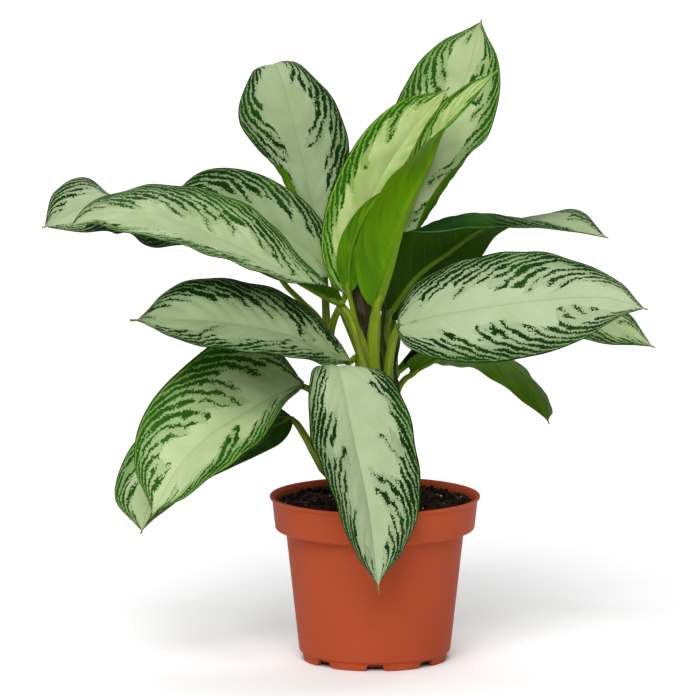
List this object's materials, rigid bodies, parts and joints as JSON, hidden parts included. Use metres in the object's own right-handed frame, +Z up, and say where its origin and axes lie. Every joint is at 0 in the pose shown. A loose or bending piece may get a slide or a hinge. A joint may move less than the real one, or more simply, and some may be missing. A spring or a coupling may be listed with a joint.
{
  "type": "potted chinese evergreen",
  "caption": "Potted chinese evergreen: arching silver-green leaves on upright petioles and short canes, in a round terracotta-coloured plastic nursery pot of soil.",
  "frame": {"origin": "on the pot's axis, in the plane the pot stands on", "axes": "+Z up along the pot's axis, -Y towards the side most leaf faces look to, +X to the right seen from that side"},
  "size_m": [0.4847, 0.2894, 0.5112],
  "materials": {
    "pot": "satin injection-moulded polypropylene, terracotta colour",
    "soil": "moist dark peat and fibre compost, rough and crumbly",
    "cane": "smooth green ringed stem, dry brown sheath scars",
    "petiole": "smooth fleshy green stalk, satin",
    "blade": "satin waxy leaf, silver green with ragged dark green stripes, plain green underneath",
    "blade_young": "satin young leaf, pale yellow green with faint stripes",
    "blade_lime": "satin unrolling young leaf, lime green underside"
  },
  "bodies": {
    "root": {"pot": "pot", "potting_soil": "soil", "cane_front": "cane", "cane_back": "cane", "cane_left": "cane", "leaf_back_left_blade": "blade", "leaf_back_left_petiole": "petiole", "leaf_back_right_blade": "blade", "leaf_back_right_petiole": "petiole", "leaf_young_pale_blade": "blade_young", "leaf_young_pale_petiole": "petiole", "leaf_young_side_blade": "blade_lime", "leaf_young_side_petiole": "petiole", "leaf_young_front_blade": "blade_lime", "leaf_young_front_petiole": "petiole", "leaf_right_arch_blade": "blade", "leaf_right_arch_petiole": "petiole", "leaf_right_low_blade": "blade", "leaf_right_low_petiole": "petiole", "leaf_right_tail_blade": "blade", "leaf_right_tail_petiole": "petiole", "leaf_right_back_blade": "blade", "leaf_right_back_petiole": "petiole", "leaf_left_mid_blade": "blade", "leaf_left_mid_petiole": "petiole", "leaf_front_down_blade": "blade", "leaf_front_down_petiole": "petiole", "leaf_low_left_blade": "blade", "leaf_low_left_petiole": "petiole", "leaf_low_left_under_blade": "blade", "leaf_low_left_under_petiole": "petiole", "leaf_left_long_blade": "blade", "leaf_left_long_petiole": "petiole", "leaf_left_behind_blade": "blade", "leaf_left_behind_petiole": "petiole", "leaf_left_tail_blade": "blade", "leaf_left_tail_petiole": "petiole"}
  },
  "joints": []
}
